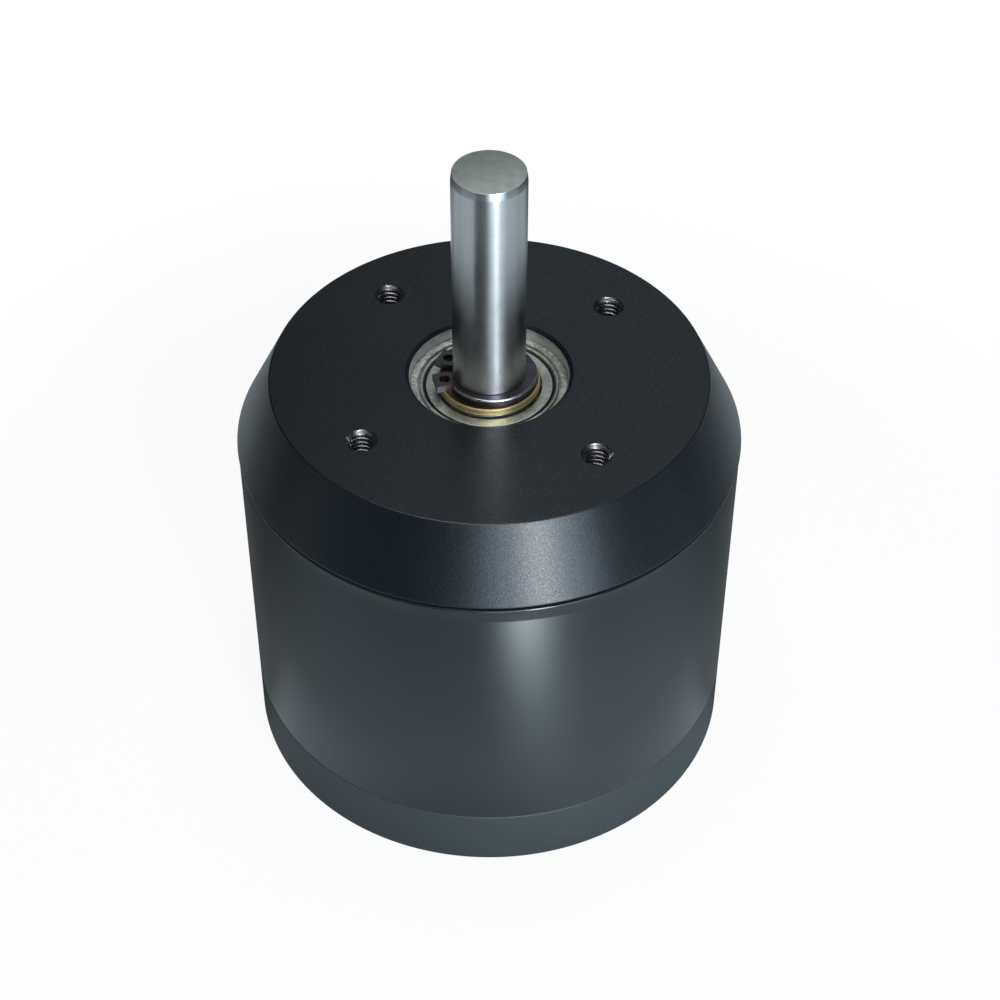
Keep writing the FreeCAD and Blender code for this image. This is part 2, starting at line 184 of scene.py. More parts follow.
def rounded(corners, steps=4):
    """Half section from (radius, height, rounding) corners, each rounding drawn as an arc."""
    points = []
    places = [Vector((radius, 0, height)) for radius, height, _ in corners]
    for index, (_, _, rounding) in enumerate(corners):
        here = places[index]
        if not rounding:
            points.append(here)
            continue
        back = (places[index - 1] - here).normalized()
        ahead = (places[(index + 1) % len(places)] - here).normalized()
        half = back.angle(ahead) / 2
        centre = here + (back + ahead).normalized() * rounding / math.sin(half)
        first = here + back * rounding / math.tan(half) - centre
        last = here + ahead * rounding / math.tan(half) - centre
        points += [centre + rounding * first.slerp(last, step / steps) for step in range(steps + 1)]
    return points


def drawn(name, points):
    """A closed wire outline, drawn point by point."""
    bpy.ops.object.select_all(action="DESELECT")
    bpy.ops.mesh.primitive_plane_add(size=mm, location=(0, 0, 0))
    piece = bpy.context.object
    piece.name = name
    bpy.ops.object.mode_set(mode="EDIT")
    bpy.ops.mesh.select_all(action="SELECT")
    bpy.ops.mesh.merge(type="CENTER")
    bpy.ops.transform.translate(value=points[0])
    for here, there in zip(points, points[1:] + points[:1]):
        bpy.ops.mesh.extrude_vertices_move(TRANSFORM_OT_translate={"value": there - here})
    bpy.ops.mesh.select_all(action="SELECT")
    bpy.ops.mesh.remove_doubles(threshold=1e-6)
    bpy.ops.object.mode_set(mode="OBJECT")
    return piece


def turned(name, corners, steps=turning_steps):
    """A piece turned about the motor's axis."""
    piece = drawn(name, rounded(corners))
    bpy.ops.object.mode_set(mode="EDIT")
    bpy.ops.mesh.select_all(action="SELECT")
    bpy.ops.mesh.spin(steps=steps, angle=math.tau, center=(0, 0, 0), axis=(0, 0, 1))
    bpy.ops.mesh.select_all(action="SELECT")
    bpy.ops.mesh.remove_doubles(threshold=1e-6)
    bpy.ops.mesh.normals_make_consistent(inside=False)
    bpy.ops.object.mode_set(mode="OBJECT")
    return piece


def apply_modifier(piece, kind, **settings):
    """Adds one modifier to the piece and applies it."""
    bpy.ops.object.select_all(action="DESELECT")
    piece.select_set(True)
    bpy.context.view_layer.objects.active = piece
    step = piece.modifiers.new(kind.lower(), kind)
    for label, value in settings.items():
        setattr(step, label, value)
    bpy.ops.object.modifier_apply(modifier=step.name)


def placed(piece, finish, slot, body, *nodes, smooth=35):
    """Shades the piece, gives it its finish, and lets it stand for those solids on its body."""
    bpy.ops.object.select_all(action="DESELECT")
    piece.select_set(True)
    bpy.context.view_layer.objects.active = piece
    bpy.ops.object.shade_smooth_by_angle(angle=math.radians(smooth))
    apply_modifier(piece, "WEIGHTED_NORMAL", keep_sharp=True, weight=80)
    piece.data.materials.clear()
    piece.data.materials.append(finish.material)
    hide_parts(*nodes)
    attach(piece, body)


slate = (0.025, 0.032, 0.035)
slate_light = (0.034, 0.043, 0.047)
bell_finish = Finish("bell_slate_paint", {"Metallic": 0.0, "Specular IOR Level": 0.5})
bell_cloud = bell_finish.noise(9 * mm, 3.0)
bell_grain = bell_finish.noise(0.35 * mm, 2.0)
bell_finish.feed("Base Color", bell_finish.between(bell_cloud * 0.7 + bell_grain * 0.3, slate, slate_light))
bell_finish.feed("Roughness", bell_cloud * 0.08 + 0.5)
bell_finish.relief(bell_grain * 0.7 + bell_finish.lines(bell_finish.z, 0.25 * mm) * 0.3, 0.006 * mm)

bell_floor = 5.0 * mm
bell_pocket_radius = can_inner_radius - 3.5 * mm
bell_hub_radius = 10.0 * mm
bell_hub_top = 9.5 * mm
bell_spigot_top = band_top + 4.0 * mm
rear_bell = turned("bell", [
    (shaft_radius, 0, 0.3 * mm),
    (body_radius, 0, 0.5 * mm),
    (body_radius, band_top, 0.2 * mm),
    (can_inner_radius, band_top, 0),
    (can_inner_radius, bell_spigot_top, 0.3 * mm),
    (bell_pocket_radius, bell_spigot_top, 0.2 * mm),
    (bell_pocket_radius, bell_floor, 2.0 * mm),
    (bell_hub_radius, bell_floor, 2.0 * mm),
    (bell_hub_radius, bell_hub_top, 0.3 * mm),
    (shaft_radius, bell_hub_top, 0.2 * mm),
])
placed(rear_bell, bell_finish, "bell_anodised", "rotor", "rear_bell")

# Rotor can.
# A steel tube that carries the magnets and closes their field. It is turned smooth outside,
# coated satin dark grey, and pressed and glued over the bell's spigot.

can_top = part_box("rotor_can")[1].z
can_finish = Finish("can_satin_coat", {"Metallic": 0.0, "Specular IOR Level": 0.5})
can_cloud = can_finish.noise(14 * mm, 3.0)
can_marks = can_finish.lines(can_finish.z, 0.12 * mm, 3.0)
can_grain = can_finish.noise(0.2 * mm, 1.0)
coat_dark = (0.0110, 0.0160, 0.0180)
coat_light = (0.0150, 0.0205, 0.0225)
can_finish.feed("Base Color", can_finish.between(can_cloud, coat_dark, coat_light))
can_finish.feed("Roughness", can_cloud * 0.04 + can_marks * 0.04 + 0.10)
can_finish.relief(can_marks * 0.6 + can_grain * 0.4, 0.002 * mm)

can_taper = 0.08 * mm
can_taper_length = 2.0 * mm
can_rim_drop = 0.12 * mm
rotor_can = turned("can", [
    (can_inner_radius, band_top, 0),
    (body_radius, band_top, 0.2 * mm),
    (body_radius, can_top - can_taper_length, 2.0 * mm),
    (body_radius - can_taper, can_top - can_rim_drop, 0.25 * mm),
    (can_inner_radius, can_top - can_rim_drop, 0.15 * mm),
])
placed(rotor_can, can_finish, "can_coated", "rotor", "rotor_can")

# Front cover and bearing tube.
# One aluminium turning, anodised black: a flat face, a conical flank, a lip that hangs in the can,
# and the long tube that carries both bearings and the stator. The four mounting holes are tapped.

shaft_reach = 33.0 * mm
flank_height = 10.25 * mm
face_height = cad_high.z - shaft_reach
cover_base = face_height - flank_height
rim_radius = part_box("front_cover")[1].x
face_radius = 30.1 * mm
lip_radius = can_inner_radius - 0.6 * mm
cavity_radius = lip_radius - 2.0 * mm
ceiling = face_height - 5.0 * mm
lip_drop = 2.3 * mm
seat_chamfer = 0.55 * mm
tube_radius = 14.0 * mm
collar_radius = 15.5 * mm
tube_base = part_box("front_cover")[0].z
stack_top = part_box("stator_core")[1].z
pocket_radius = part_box("front_bearing_outer_ring")[1].x
pocket_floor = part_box("front_bearing_outer_ring")[0].z
seat_top = face_height - 0.42 * mm
rear_pocket_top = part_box("rear_bearing_outer_ring")[1].z
tube_bore_radius = 8.0 * mm

hole_circle = 22.0 * mm
hole_angles = (40, 130, 220, 310)
thread_major = 2.0 * mm
thread_minor = 1.62 * mm
thread_pitch = 0.7 * mm
thread_depth = 6.9 * mm
thread_turns = 10
mouth_radius = 2.14 * mm
mouth_clear = 0.5 * mm
ridge_sunk = 0.06 * mm
ridge_half_foot = 0.3 * mm
ridge_half_crest = 0.05 * mm
trim_clear = 0.1 * mm
drill_radius = 1.65 * mm
drill_depth = 8.0 * mm
tapped_depth = 7.0 * mm
boss_radius = 4.5 * mm
boss_base = 53.01 * mm
boss_overlap = 1 * mm
boss_steps = 64
hole_steps = 48

# The cable outlet at the back, from inside the wall to past the rim
outlet_width = 16.0 * mm
outlet_height = 6.3 * mm
outlet_base = 53.05 * mm
outlet_near = 23.9 * mm
outlet_far = 37.0 * mm


def combined(piece, tool, operation):
    """Adds, cuts or keeps what the tool covers, and throws the tool away."""
    apply_modifier(piece, "BOOLEAN", object=tool, operation=operation, solver="EXACT")
    bpy.data.objects.remove(tool)


def moved(piece, offset, turn=0.0):
    """Moves the mesh itself, after a turn about the axis, so that the object stays at the origin."""
    bpy.ops.object.select_all(action="DESELECT")
    piece.select_set(True)
    bpy.context.view_layer.objects.active = piece
    piece.rotation_mode = "XYZ"
    piece.rotation_euler.z = math.radians(turn)
    piece.location = offset
    bpy.ops.object.transform_apply(location=True, rotation=True, scale=True)
    return piece


def copied(piece, name):
    twin = piece.copy()
    twin.data = piece.data.copy()
    twin.name = name
    bpy.context.scene.collection.objects.link(twin)
    return twin


def joined(pieces):
    """Several pieces as one object."""
    bpy.ops.object.select_all(action="DESELECT")
    for piece in pieces:
        piece.select_set(True)
    bpy.context.view_layer.objects.active = pieces[0]
    bpy.ops.object.join()
    return pieces[0]


def on_hole_circle(piece):
    """The same piece at each of the four holes, as one tool."""
    tools = []
    for angle in hole_angles:
        turn = math.radians(angle)
        offset = (hole_circle * math.cos(turn), hole_circle * math.sin(turn), 0)
        tools.append(moved(copied(piece, "tool"), offset))
    bpy.data.objects.remove(piece)
    return joined(tools)


def thread_ridge():
    """The helical ridge between the grooves of the thread, trimmed by the countersink."""
    first = face_height - thread_depth
    ridge = drawn("ridge", rounded([
        (thread_major + ridge_sunk, first - ridge_half_foot, 0),
        (thread_minor, first - ridge_half_crest, 0),
        (thread_minor, first + ridge_half_crest, 0),
        (thread_major + ridge_sunk, first + ridge_half_foot, 0),
    ]))
    apply_modifier(ridge, "SCREW", axis="Z", angle=math.tau, iterations=thread_turns,
                   screw_offset=thread_pitch, steps=40, render_steps=40, use_merge_vertices=True,
                   merge_threshold=1e-6)
    bpy.ops.object.mode_set(mode="EDIT")
    bpy.ops.mesh.select_all(action="SELECT")
    bpy.ops.mesh.remove_doubles(threshold=1e-6)
    bpy.ops.mesh.fill_holes(sides=4)
    bpy.ops.mesh.select_all(action="SELECT")
    bpy.ops.mesh.normals_make_consistent(inside=False)
    bpy.ops.object.mode_set(mode="OBJECT")
    cone_foot = mouth_radius - thread_minor + trim_clear
    trimmer = turned("trimmer", [
        (0, face_height - cone_foot, 0),
        (mouth_radius - cone_foot, face_height - cone_foot, 0),
        (mouth_radius + mouth_clear, face_height + mouth_clear, 0),
        (mouth_radius + mouth_clear, face_height + 3 * mouth_clear, 0),
        (0, face_height + 3 * mouth_clear, 0),
    ], hole_steps)
    combined(ridge, trimmer, "DIFFERENCE")
    return ridge


def slot_bar(width, height, base, near, far):
    """A bar with round sides that lies along Y."""
    bpy.ops.object.select_all(action="DESELECT")
    bpy.ops.mesh.primitive_circle_add(vertices=64, radius=height / 2, fill_type="NGON",
                                      location=(0, near, base + height / 2),
                                      rotation=(math.pi / 2, 0, 0))
    bar = bpy.context.object
    bpy.ops.object.transform_apply(location=True, rotation=True, scale=True)
    # A new circle is all selected, so nothing may stay so before its halves move apart.
    bpy.ops.object.mode_set(mode="EDIT")
    bpy.ops.mesh.select_all(action="DESELECT")
    bpy.ops.object.mode_set(mode="OBJECT")
    for side in (-1, 1):
        for vertex in bar.data.vertices:
            vertex.select = vertex.co.x * side > 1e-6
        bpy.ops.object.mode_set(mode="EDIT")
        bpy.ops.mesh.select_mode(type="VERT")
        bpy.ops.transform.translate(value=(side * (width - height) / 2, 0, 0))
        bpy.ops.mesh.select_all(action="DESELECT")
        bpy.ops.object.mode_set(mode="OBJECT")
    bpy.ops.object.mode_set(mode="EDIT")
    bpy.ops.mesh.select_all(action="SELECT")
    bpy.ops.mesh.extrude_region_move(TRANSFORM_OT_translate={"value": (0, far - near, 0)})
    bpy.ops.mesh.select_all(action="SELECT")
    bpy.ops.mesh.normals_make_consistent(inside=False)
    bpy.ops.object.mode_set(mode="OBJECT")
    return bar


cover_finish = Finish("cover_black_anodise", {"Specular IOR Level": 0.38, "Coat Roughness": 0.28,
                                              "Anisotropic": 0.25, "Anisotropic Rotation": 0.25})
cover_speck = cover_finish.noise(0.16 * mm, 2.0)
cover_cloud = cover_finish.noise(11 * mm, 4.0)
cover_grain = cover_finish.noise(0.35 * mm, 2.0)
cover_marks = cover_finish.lines(cover_finish.radius, 0.16 * mm, 3.0)
anodise_dark = (0.0020, 0.0040, 0.0062)
anodise_light = (0.0036, 0.0062, 0.0090)
cover_finish.feed("Base Color", cover_finish.between(cover_cloud * 0.7 + cover_grain * 0.3,
                                                     anodise_dark, anodise_light))
cover_finish.feed("Roughness", cover_cloud * 0.06 + cover_grain * 0.14 + 0.25)
cover_finish.feed("Coat Weight", cover_finish.ramp(cover_speck, 0.32, 0.68) * 0.5 + 0.05)
cover_finish.relief(cover_grain * 0.5 + cover_speck * 0.4 + cover_marks * 0.1, 0.022 * mm)

front_cover = turned("cover", [
    (pocket_radius, seat_top, 0.05 * mm),
    (pocket_radius + seat_chamfer, face_height, 0.06 * mm),
    (face_radius, face_height, 0.25 * mm),
    (rim_radius, cover_base + 0.2 * mm, 0.1 * mm),
    (rim_radius, cover_base, 0.06 * mm),
    (lip_radius, cover_base, 0),
    (lip_radius, cover_base - lip_drop, 0.3 * mm),
    (cavity_radius, cover_base - lip_drop, 0.3 * mm),
    (cavity_radius, ceiling, 0.5 * mm),
    (collar_radius, ceiling, 1.5 * mm),
    (collar_radius, stack_top, 0.2 * mm),
    (tube_radius, stack_top, 0),
    (tube_radius, tube_base, 0.3 * mm),
    (pocket_radius, tube_base, 0.2 * mm),
    (pocket_radius, rear_pocket_top, 0),
    (tube_bore_radius, rear_pocket_top, 0.2 * mm),
    (tube_bore_radius, pocket_floor, 0.2 * mm),
    (pocket_radius, pocket_floor, 0),
])
boss = turned("boss", [
    (0, boss_base, 0),
    (boss_radius, boss_base, 0.3 * mm),
    (boss_radius, ceiling + boss_overlap, 0),
    (0, ceiling + boss_overlap, 0),
], boss_steps)
combined(front_cover, on_hole_circle(boss), "UNION")
hole = turned("hole", [
    (0, face_height - drill_depth, 0),
    (drill_radius, face_height - tapped_depth, 0),
    (thread_major, face_height - tapped_depth, 0),
    (thread_major, face_height - mouth_radius + thread_major, 0),
    (mouth_radius + mouth_clear, face_height + mouth_clear, 0),
    (0, face_height + mouth_clear, 0),
], hole_steps)
combined(front_cover, on_hole_circle(hole), "DIFFERENCE")
outlet = slot_bar(outlet_width, outlet_height, outlet_base, outlet_near, outlet_far)
combined(front_cover, outlet, "DIFFERENCE")
front_cover = joined([front_cover, on_hole_circle(thread_ridge())])
placed(front_cover, cover_finish, "cover_anodised", "stator", "front_cover")
seat_finish = Finish("bored_bearing_seat", {"Metallic": 1.0, "Anisotropic": 0.6,
                                            "Anisotropic Rotation": 0.25})
seat_marks = seat_finish.lines(seat_finish.z, 0.14 * mm, 3.0)
seat_cloud = seat_finish.noise(1.2 * mm, 3.0)
seat_finish.feed("Base Color", seat_finish.between(seat_cloud, (0.52, 0.54, 0.53), (0.84, 0.86, 0.84)))
seat_finish.feed("Roughness", seat_marks * 0.2 + 0.34)
seat_finish.relief(seat_marks, 0.008 * mm)
tapped_finish = Finish("tapped_thread", {"Metallic": 1.0})
tapped_cloud = tapped_finish.noise(0.6 * mm, 3.0)
tapped_finish.feed("Base Color", tapped_finish.between(tapped_cloud, (0.17, 0.17, 0.18), (0.32, 0.32, 0.33)))
tapped_finish.feed("Roughness", tapped_cloud * 0.12 + 0.22)
tapped_finish.relief(tapped_cloud, 0.010 * mm)
front_cover.data.materials.append(seat_finish.material)
front_cover.data.materials.append(tapped_finish.material)
seat_slack = 0.02 * mm
face_slack = 0.01 * mm
thread_zone = 7.5 * mm
hole_middles = [Vector((math.cos(math.radians(angle)), math.sin(math.radians(angle)), 0)) * hole_circle
                for angle in hole_angles]
for face in front_cover.data.polygons:
    centre = face.center
    flat = Vector((centre.x, centre.y, 0))
    if abs(flat.length - pocket_radius) < seat_slack and centre.z < seat_top:
        face.material_index = 1
    elif centre.z > face_height - thread_zone and centre.z < face_height - face_slack:
        if min((flat - middle).length for middle in hole_middles) < mouth_radius + face_slack:
            face.material_index = 2

# Bearings.
# Two shielded 10 x 22 x 6 mm ball bearings, pushed into the ends of the tube. The rings are ground steel,
# the shields are zinc-plated sheet rolled into the outer ring, and a nylon crown cage spaces eight balls.

ball_radius = 1.5875 * mm
ball_pitch_radius = 8.0 * mm
track_radius = ball_radius + 0.05 * mm
land_offset = 1.0875 * mm
inner_land = ball_pitch_radius - land_offset
outer_land = ball_pitch_radius + land_offset
shield_seat_radius = outer_land + 0.75 * mm
shield_seat_depth = 0.9 * mm
ball_count = 8
ring_steps = 192

# The shield's section: radii, then depths below the bearing's face
roll_outer = 9.6 * mm
roll_inner = 9.12 * mm
crease_outer = 9.05 * mm
crease_inner = 8.80 * mm
plate_outer = 8.68 * mm
plate_inner = 7.25 * mm
back_outer = 9.3 * mm
roll_depth = 0.12 * mm
crease_depth = 0.55 * mm
plate_depth = 0.32 * mm
back_depth = 0.70 * mm


def dressed(node, name, edge, segments=3, angle=40):
    """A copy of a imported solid, merged and with its sharp edges broken as the real ones are."""
    piece = copied(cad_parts[node], name)
    piece.parent = None
    for label in list(piece.keys()):
        del piece[label]
    bpy.ops.object.select_all(action="DESELECT")
    piece.select_set(True)
    bpy.context.view_layer.objects.active = piece
    bpy.ops.object.mode_set(mode="EDIT")
    bpy.ops.mesh.select_all(action="SELECT")
    bpy.ops.mesh.remove_doubles(threshold=1e-6)
    bpy.ops.mesh.dissolve_limited(angle_limit=math.radians(1))
    bpy.ops.object.mode_set(mode="OBJECT")
    if edge:
        apply_modifier(piece, "BEVEL", width=edge, segments=segments, limit_method="ANGLE",
                       angle_limit=math.radians(angle))
    return piece


def track(middle, side):
    """Corners of the ball groove in one ring, from below the middle to above it."""
    half = math.acos((outer_land - ball_pitch_radius) / track_radius)
    corners = []
    for step in range(9):
        turn = half * (step / 4 - 1)
        corners.append((ball_pitch_radius + side * track_radius * math.cos(turn),
                        middle + track_radius * math.sin(turn), 0))
    return corners


def shield(name, face, up):
    """Pressed shield with its rolled rim; up is 1 for the upper one and -1 for the lower one."""
    return turned(name, [
        (roll_outer, face - up * shield_seat_depth, 0),
        (roll_outer, face - up * roll_depth, 0.22 * mm),
        (roll_inner, face - up * roll_depth, 0.22 * mm),
        (crease_outer, face - up * crease_depth, 0.04 * mm),
        (crease_inner, face - up * crease_depth, 0.04 * mm),
        (plate_outer, face - up * plate_depth, 0.08 * mm),
        (plate_inner, face - up * plate_depth, 0.08 * mm),
        (plate_inner, face - up * back_depth, 0),
        (back_outer, face - up * back_depth, 0),
        (back_outer, face - up * shield_seat_depth, 0),
    ], ring_steps)


ring_finish = Finish("ring_ground_steel", {"Metallic": 1.0, "Anisotropic": 0.5,
                                           "Anisotropic Rotation": 0.25})
ring_marks = ring_finish.lines(ring_finish.radius, 0.09 * mm, 3.0)
ring_spots = ring_finish.noise(0.6 * mm, 4.0)
ring_cloud = ring_finish.noise(3.0 * mm, 3.0)
ring_worn = ring_finish.ramp(ring_spots * 0.6 + ring_cloud * 0.4, 0.38, 0.62)
ring_finish.feed("Base Color", ring_finish.between(ring_worn, (0.52, 0.53, 0.49), (0.90, 0.91, 0.86)))
ring_finish.feed("Roughness", ring_marks * 0.12 + ring_spots * 0.2 + 0.32)
ring_finish.relief(ring_marks * 0.6 + ring_spots * 0.4, 0.007 * mm)

# Painted shade: the inner ring is the same ground steel as the outer one, but its colour is a darker copy,
# as shade down in the gap by the shaft.
race_painted_shade_finish = Finish("race_steel_painted_shade", {"Metallic": 1.0, "Anisotropic": 0.5,
                                           "Anisotropic Rotation": 0.25})
race_marks = race_painted_shade_finish.lines(race_painted_shade_finish.radius + race_painted_shade_finish.z, 0.08 * mm, 3.0)
race_cloud = race_painted_shade_finish.noise(1.5 * mm, 3.0)
race_painted_shade_finish.feed("Base Color", race_painted_shade_finish.between(race_cloud, (0.34, 0.34, 0.33), (0.44, 0.44, 0.43)))
race_painted_shade_finish.feed("Roughness", race_marks * 0.12 + 0.22)
race_painted_shade_finish.relief(race_marks, 0.003 * mm)

zinc_finish = Finish("shield_zinc_plate", {"Metallic": 1.0})
zinc_spots = zinc_finish.noise(0.32 * mm, 4.0)
zinc_cloud = zinc_finish.noise(3.5 * mm, 3.0)
zinc_tone = zinc_finish.ramp(zinc_cloud * 0.55 + zinc_spots * 0.45, 0.35, 0.65)
zinc_plate = zinc_finish.between(zinc_tone, (0.36, 0.39, 0.35), (0.70, 0.73, 0.66))
# Painted shade: the band over the shield's crease is painted near black. The bright spots laid over the rest
# are scuffs worn through the plating.
zinc_crease_painted_shade = zinc_finish.band(zinc_finish.radius, 8.66 * mm, 8.74 * mm, 9.02 * mm, 9.10 * mm)
zinc_with_painted_shade = zinc_finish.over(zinc_crease_painted_shade, zinc_plate, (0.035, 0.038, 0.036))
zinc_scuff = zinc_finish.ramp(zinc_finish.noise(0.55 * mm, 5.0), 0.66, 0.72)
zinc_scuffs_and_painted_shade = zinc_finish.over(zinc_scuff * (1 - zinc_crease_painted_shade), zinc_with_painted_shade, (0.95, 0.96, 0.92))
zinc_finish.feed("Base Color", zinc_scuffs_and_painted_shade)
zinc_finish.feed("Roughness", zinc_spots * 0.3 + 0.26)
zinc_finish.relief(zinc_spots, 0.020 * mm)

ball_finish = Finish("ball_polished_steel", {"Metallic": 1.0})
ball_cloud = ball_finish.noise(1.1 * mm, 3.0)
ball_finish.feed("Base Color", ball_finish.between(ball_cloud, (0.60, 0.61, 0.62), (0.70, 0.71, 0.72)))
ball_finish.feed("Roughness", ball_cloud * 0.06 + 0.06)

cage_finish = Finish("cage_ivory_nylon", {"Specular IOR Level": 0.4})
cage_cloud = cage_finish.noise(0.8 * mm, 3.0)
cage_finish.feed("Base Color", cage_finish.between(cage_cloud, (0.55, 0.50, 0.38), (0.66, 0.61, 0.48)))
cage_finish.feed("Roughness", cage_cloud * 0.15 + 0.42)
cage_finish.relief(cage_cloud, 0.010 * mm)

for end_name in ("front", "rear"):
    node = end_name + "_bearing_"
    low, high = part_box(node + "outer_ring")
    bearing_base = low.z
    bearing_top = high.z
    middle = (bearing_base + bearing_top) / 2
    outer_ring = turned(end_name + "_outer_race", [
        (shield_seat_radius, bearing_top, 0.08 * mm),
        (shield_seat_radius, bearing_top - shield_seat_depth, 0),
        (outer_land, bearing_top - shield_seat_depth, 0.05 * mm),
    ] + track(middle, 1)[::-1] + [
        (outer_land, bearing_base + shield_seat_depth, 0.05 * mm),
        (shield_seat_radius, bearing_base + shield_seat_depth, 0),
        (shield_seat_radius, bearing_base, 0.08 * mm),
        (high.x, bearing_base, 0.4 * mm),
        (high.x, bearing_top, 0.4 * mm),
    ], ring_steps)
    placed(outer_ring, ring_finish, "bearing_steel", "stator", node + "outer_ring")
    inner_ring = turned(end_name + "_inner_race", [
        (shaft_radius, bearing_base, 0.2 * mm),
        (inner_land, bearing_base, 0.12 * mm),
    ] + track(middle, -1) + [
        (inner_land, bearing_top, 0.12 * mm),
        (shaft_radius, bearing_top, 0.2 * mm),
    ], ring_steps)
    placed(inner_ring, race_painted_shade_finish, "bearing_steel", "rotor", node + "inner_ring")
    placed(shield(end_name + "_shield_above", bearing_top, 1), zinc_finish, "shield_zinc", "stator",
           node + "upper_shield")
    placed(shield(end_name + "_shield_below", bearing_base, -1), zinc_finish, "shield_zinc", "stator",
           node + "lower_shield")
    balls = []
    for index in range(ball_count):
        turn = math.tau * index / ball_count
        place = (ball_pitch_radius * math.cos(turn), ball_pitch_radius * math.sin(turn), middle)
        bpy.ops.mesh.primitive_uv_sphere_add(segments=48, ring_count=24, radius=ball_radius, location=place)
        balls.append(bpy.context.object)
    balls = moved(joined(balls), balls[0].location.copy())
    balls.name = end_name + "_ball_row"
    placed(balls, ball_finish, "bearing_steel", end_name + "_ball_set", node + "balls")
    cage = dressed(node + "cage", end_name + "_crown_cage", 0.08 * mm, 2)
    placed(cage, cage_finish, "cage_nylon", end_name + "_ball_set", node + "cage")

# Shaft.
# A 10 mm steel pin, ground to size between centres, with a chamfered end and a groove for the circlip.
# The wheel leaves very fine marks round it, so that lights smear along its length.

shaft_top = cad_high.z
shaft_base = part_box("shaft")[0].z
groove_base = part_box("shaft_circlip")[0].z
groove_top = groove_base + 1.1 * mm
groove_radius = shaft_radius - 0.2 * mm
chamfer_length = 1.1 * mm
chamfer_depth = 0.15 * mm
shaft_finish = Finish("shaft_ground_steel", {"Metallic": 1.0, "Anisotropic": 0.85,
                                             "Anisotropic Rotation": 0.25})
shaft_marks = shaft_finish.lines(shaft_finish.z, 0.07 * mm, 4.0)
shaft_cloud = shaft_finish.noise(2.2 * mm, 4.0)
shaft_grain = shaft_finish.noise(0.25 * mm, 2.0)
shaft_finish.feed("Base Color", shaft_finish.between(shaft_cloud * 0.6 + shaft_grain * 0.4,
                                                     (0.40, 0.41, 0.41), (0.56, 0.57, 0.57)))
shaft_finish.feed("Roughness", shaft_cloud * 0.03 + shaft_marks * 0.08 + 0.24)
shaft_finish.relief(shaft_marks * 0.5 + shaft_grain * 0.5, 0.002 * mm)

shaft = turned("motor_shaft", [
    (0, shaft_base, 0),
    (shaft_radius, shaft_base, 0.2 * mm),
    (shaft_radius, groove_base, 0),
    (groove_radius, groove_base, 0),
    (groove_radius, groove_top, 0),
    (shaft_radius, groove_top, 0),
    (shaft_radius, shaft_top - chamfer_length, 0.15 * mm),
    (shaft_radius - chamfer_depth, shaft_top, 0.05 * mm),
    (0, shaft_top, 0),
], ring_steps)
placed(shaft, shaft_finish, "shaft_steel", "rotor", "shaft")
end_finish = Finish("shaft_faced_end", {"Metallic": 1.0})
end_marks = end_finish.lines(end_finish.radius, 0.12 * mm, 3.0)
end_cloud = end_finish.noise(1.4 * mm, 3.0)
end_finish.feed("Base Color", end_finish.between(end_cloud, (0.38, 0.41, 0.38), (0.66, 0.70, 0.66)))
end_finish.feed("Roughness", end_marks * 0.15 + 0.36)
end_finish.relief(end_marks * 0.6 + end_cloud * 0.4, 0.005 * mm)
shaft.data.materials.append(end_finish.material)
for face in shaft.data.polygons:
    if abs(face.normal.z) > 0.5:
        face.material_index = 1

# Shims and circlip.
# Two brass washers take up the play between the inner ring and the circlip, which is stamped from
# spring steel, blackened, and snapped into the shaft's groove with its eared ends to the left.

brass_finish = Finish("shim_brass", {"Metallic": 1.0})
brass_spots = brass_finish.noise(0.7 * mm, 3.0)
brass_marks = brass_finish.lines(brass_finish.radius, 0.1 * mm)
brass_thickness = 0.5 * mm
brass_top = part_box("shim_washer_2")[1].z
brass_step = brass_finish.fraction((brass_top - brass_finish.z) / brass_thickness)
circlip_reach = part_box("shaft_circlip")[1].x
# Painted shade: the top face of the shims under the circlip is painted near black, and so is a thin band at
# the top of each shim, which also gives the dark joint between them. The ledge that stands out past the
# circlip keeps its brass colour.
brass_ledge = brass_finish.ramp(brass_finish.radius, circlip_reach + 0.05 * mm, circlip_reach + 0.3 * mm)
brass_ledge = brass_ledge * (brass_finish.z > brass_top - 0.03 * mm)
brass_joints_and_painted_shade = (1 - brass_finish.ramp(brass_step, 0.04, 0.16)) * (1 - brass_ledge)
brass_metal = brass_finish.between(brass_spots, (0.54, 0.41, 0.17), (0.84, 0.70, 0.38))
brass_with_painted_shade = brass_finish.over(brass_joints_and_painted_shade * 0.9, brass_metal, (0.03, 0.022, 0.012))
brass_finish.feed("Base Color", brass_with_painted_shade)
brass_finish.feed("Roughness", brass_spots * 0.15 + brass_marks * 0.1 + 0.2)
brass_finish.relief(brass_marks * 0.5 + brass_spots * 0.5, 0.006 * mm)
shim_bore = shaft_radius + 0.05 * mm
for node in ("shim_washer_1", "shim_washer_2"):
    shim_low, shim_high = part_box(node)
    shim = turned("brass_" + node, [
        (shim_bore, shim_low.z, 0.05 * mm),
        (shim_high.x, shim_low.z, 0.12 * mm),
        (shim_high.x, shim_high.z, 0.12 * mm),
        (shim_bore, shim_high.z, 0.05 * mm),
    ], ring_steps)
    placed(shim, brass_finish, "shim_brass", "rotor", node)

